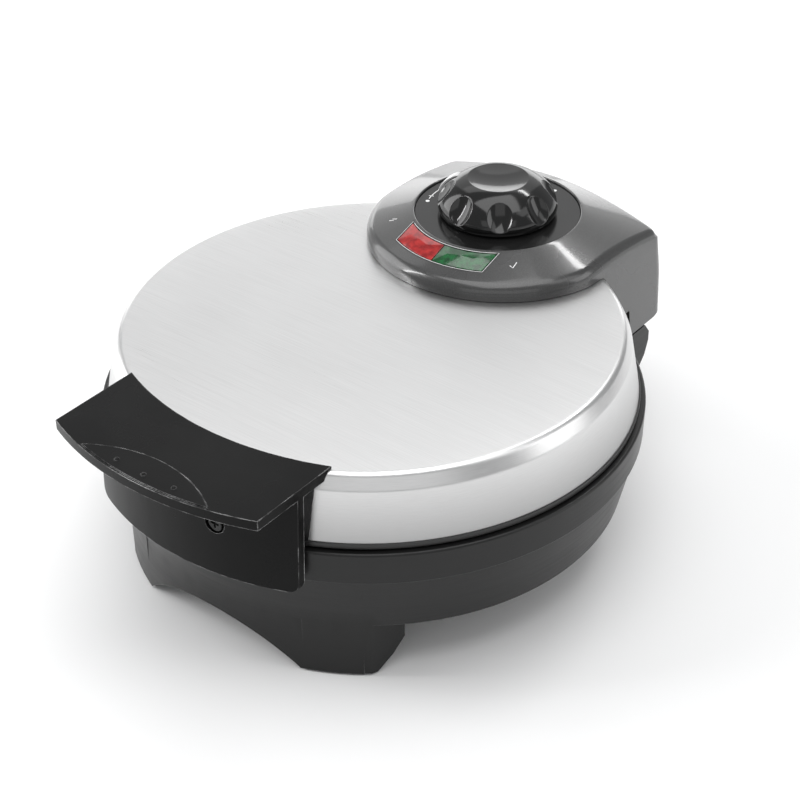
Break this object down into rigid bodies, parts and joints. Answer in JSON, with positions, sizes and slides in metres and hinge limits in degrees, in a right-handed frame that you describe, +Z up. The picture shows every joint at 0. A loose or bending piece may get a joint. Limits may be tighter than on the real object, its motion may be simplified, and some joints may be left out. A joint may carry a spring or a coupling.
{
  "type": "waffle maker",
  "caption": "Round clamshell waffle maker with a satin steel lid, front handle, rear hinge, temperature knob and two indicator lenses on a dark footed base.",
  "frame": {"origin": "on the lid's axis, at the table the feet stand on", "axes": "+Z up, -Y the front with the handle, +Y the hinge side, X left to right"},
  "size_m": [0.2425, 0.295, 0.1346],
  "materials": {
    "base_plastic": "satin moulded plastic",
    "trim_black": "satin",
    "handle_plastic": "semi-gloss",
    "housing_plastic": "metallic grey, glossy",
    "dial_black": "glossy",
    "knob_gloss": "high gloss",
    "pointer_silver": "silver paint",
    "lens_red": "translucent, faceted",
    "lens_green": "translucent, faceted",
    "lamp_glass": "clear",
    "lid_steel": "satin brushed",
    "zinc_steel": "zinc plated",
    "heater_sheath": "heat-stained sheath",
    "reflector_aluminium": "bright sheet",
    "nonstick": "non-stick coated casting",
    "ceramic_white": "heat-proof moulding",
    "rubber": "matte",
    "black_screw": "black oxide"
  },
  "bodies": {
    "base": {"base_body": "base_plastic", "base_ring": "base_plastic", "bottom_cover": "base_plastic", "bottom_screws": "zinc_steel", "foot_pads": "rubber", "hinge_pins": "zinc_steel", "wire_guard": "base_plastic", "cord_inlet": "rubber", "terminal_block": "ceramic_white", "lower_plate": "nonstick", "lower_element": "heater_sheath", "lower_reflector": "reflector_aluminium", "lower_plate_screws": "zinc_steel"},
    "lid": {"lid_shell": "lid_steel", "lid_bezel": "trim_black", "upper_plate": "nonstick", "upper_element": "heater_sheath", "upper_reflector": "reflector_aluminium", "upper_plate_screws": "zinc_steel", "handle": "handle_plastic", "thumb_pad": "handle_plastic", "handle_screws": "black_screw", "control_housing": "housing_plastic", "dial_plate": "dial_black", "red_lens": "lens_red", "green_lens": "lens_green", "indicator_lamps": "lamp_glass", "lamp_holder": "ceramic_white", "thermostat": "ceramic_white", "thermostat_nut": "zinc_steel", "thermal_fuse": "ceramic_white", "housing_screws": "zinc_steel"},
    "knob": {"knob": "knob_gloss", "knob_pointer": "pointer_silver", "control_shaft": "zinc_steel"}
  },
  "joints": [
    {"name": "lid_hinge", "type": "hinge", "parent": "base", "child": "lid", "pos_m": [0, 0.135, 0.0695], "axis": [-1, 0, 0], "range_deg": [0, 95]},
    {"name": "knob_turn", "type": "hinge", "parent": "lid", "child": "knob", "pos_m": [0, 0.094, 0.12], "axis": [0, 0, -1], "range_deg": [-6, 123]}
  ]
}
